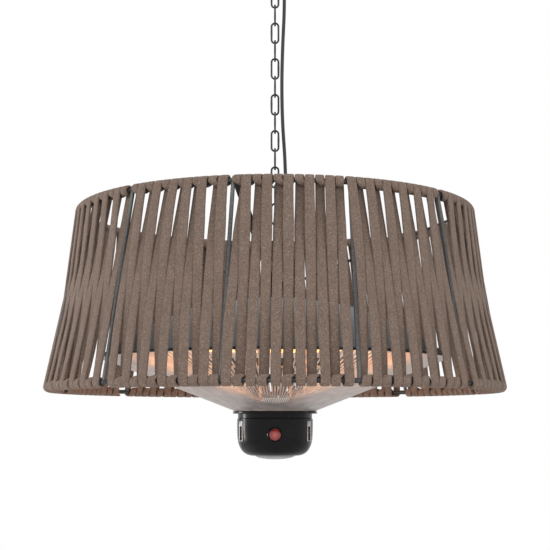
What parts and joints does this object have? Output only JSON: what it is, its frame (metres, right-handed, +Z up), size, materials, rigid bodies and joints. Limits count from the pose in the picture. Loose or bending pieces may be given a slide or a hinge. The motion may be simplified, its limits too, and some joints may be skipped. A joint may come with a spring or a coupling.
{
  "type": "hanging patio heater",
  "caption": "Round infrared patio heater that hangs on a chain inside a lampshade wound with woven tape, with a wire guard and a sensor pod below.",
  "frame": {"origin": "on the flat top face of the ceiling plate, on the heater's axis", "axes": "+Z up, out of the plate's top face towards the ceiling; the front, with the round receiver lens, faces -Y"},
  "size_m": [0.6002, 0.6002, 0.6647],
  "materials": {
    "black_steel": "satin black paint",
    "black_plastic": "matt black nylon",
    "gloss_black": "high gloss black moulding",
    "cable_rubber": "smooth black cable sheath",
    "woven_tape": "heathered taupe woven tape",
    "grey_reflector": "grey satin paint on a spun sheet",
    "polished_steel": "polished sheet",
    "glowing_quartz": "glowing quartz tube",
    "white_ceramic": "unglazed ceramic",
    "chromed_wire": "bright plated wire",
    "red_lens": "clear red plastic",
    "frosted_lens": "frosted clear plastic",
    "circuit_board": "green laminate"
  },
  "bodies": {
    "ceiling_fitting": {"ceiling_plate": "black_steel", "ceiling_hook": "black_steel", "ceiling_gland": "black_plastic"},
    "chain": {"chain_link_01": "black_steel", "chain_link_02": "black_steel", "chain_link_03": "black_steel", "chain_link_04": "black_steel", "chain_link_05": "black_steel", "chain_link_06": "black_steel", "chain_link_07": "black_steel", "chain_link_08": "black_steel", "chain_link_09": "black_steel", "chain_link_10": "black_steel", "chain_link_11": "black_steel", "chain_link_12": "black_steel", "chain_link_13": "black_steel", "chain_link_14": "black_steel", "chain_link_15": "black_steel", "cable_clip": "black_plastic", "cable_top": "cable_rubber", "cable_drop": "cable_rubber"},
    "heater": {"eye_bolt": "black_steel", "upper_nut": "black_steel", "lower_nut": "black_steel", "spacer_upper": "black_steel", "spacer_lower": "black_steel", "hanger_spider": "black_steel", "shade_frame": "black_steel", "rope_panel_01": "woven_tape", "rope_panel_02": "woven_tape", "rope_panel_03": "woven_tape", "rope_panel_04": "woven_tape", "rope_panel_05": "woven_tape", "rope_panel_06": "woven_tape", "rope_panel_07": "woven_tape", "rope_panel_08": "woven_tape", "rope_panel_09": "woven_tape", "rope_panel_10": "woven_tape", "rope_panel_11": "woven_tape", "rope_panel_12": "woven_tape", "reflector": "grey_reflector", "heater_gland": "black_plastic", "inner_reflector": "polished_steel", "outer_element": "glowing_quartz", "inner_element": "glowing_quartz", "outer_ceramic": "white_ceramic", "inner_ceramic": "white_ceramic", "wire_guard": "chromed_wire", "support_post_1": "chromed_wire", "support_post_2": "chromed_wire", "support_post_3": "chromed_wire", "support_post_4": "chromed_wire", "pod_flange": "gloss_black", "pod_body": "gloss_black", "control_board": "circuit_board", "receiver_bezel": "gloss_black", "receiver_lens": "red_lens", "bottom_lens": "frosted_lens", "side_clip_left": "chromed_wire", "side_clip_right": "chromed_wire"}
  },
  "joints": [
    {"name": "chain_swing", "type": "hinge", "parent": "ceiling_fitting", "child": "chain", "pos_m": [0, 0, -0.0325], "axis": [0, 1, 0], "range_deg": [-20, 20], "deforming": ["cable_top"]},
    {"name": "heater_tilt", "type": "hinge", "parent": "chain", "child": "heater", "pos_m": [0, 0, -0.4048], "axis": [1, 0, 0], "range_deg": [-15, 15], "deforming": ["cable_drop"]}
  ]
}
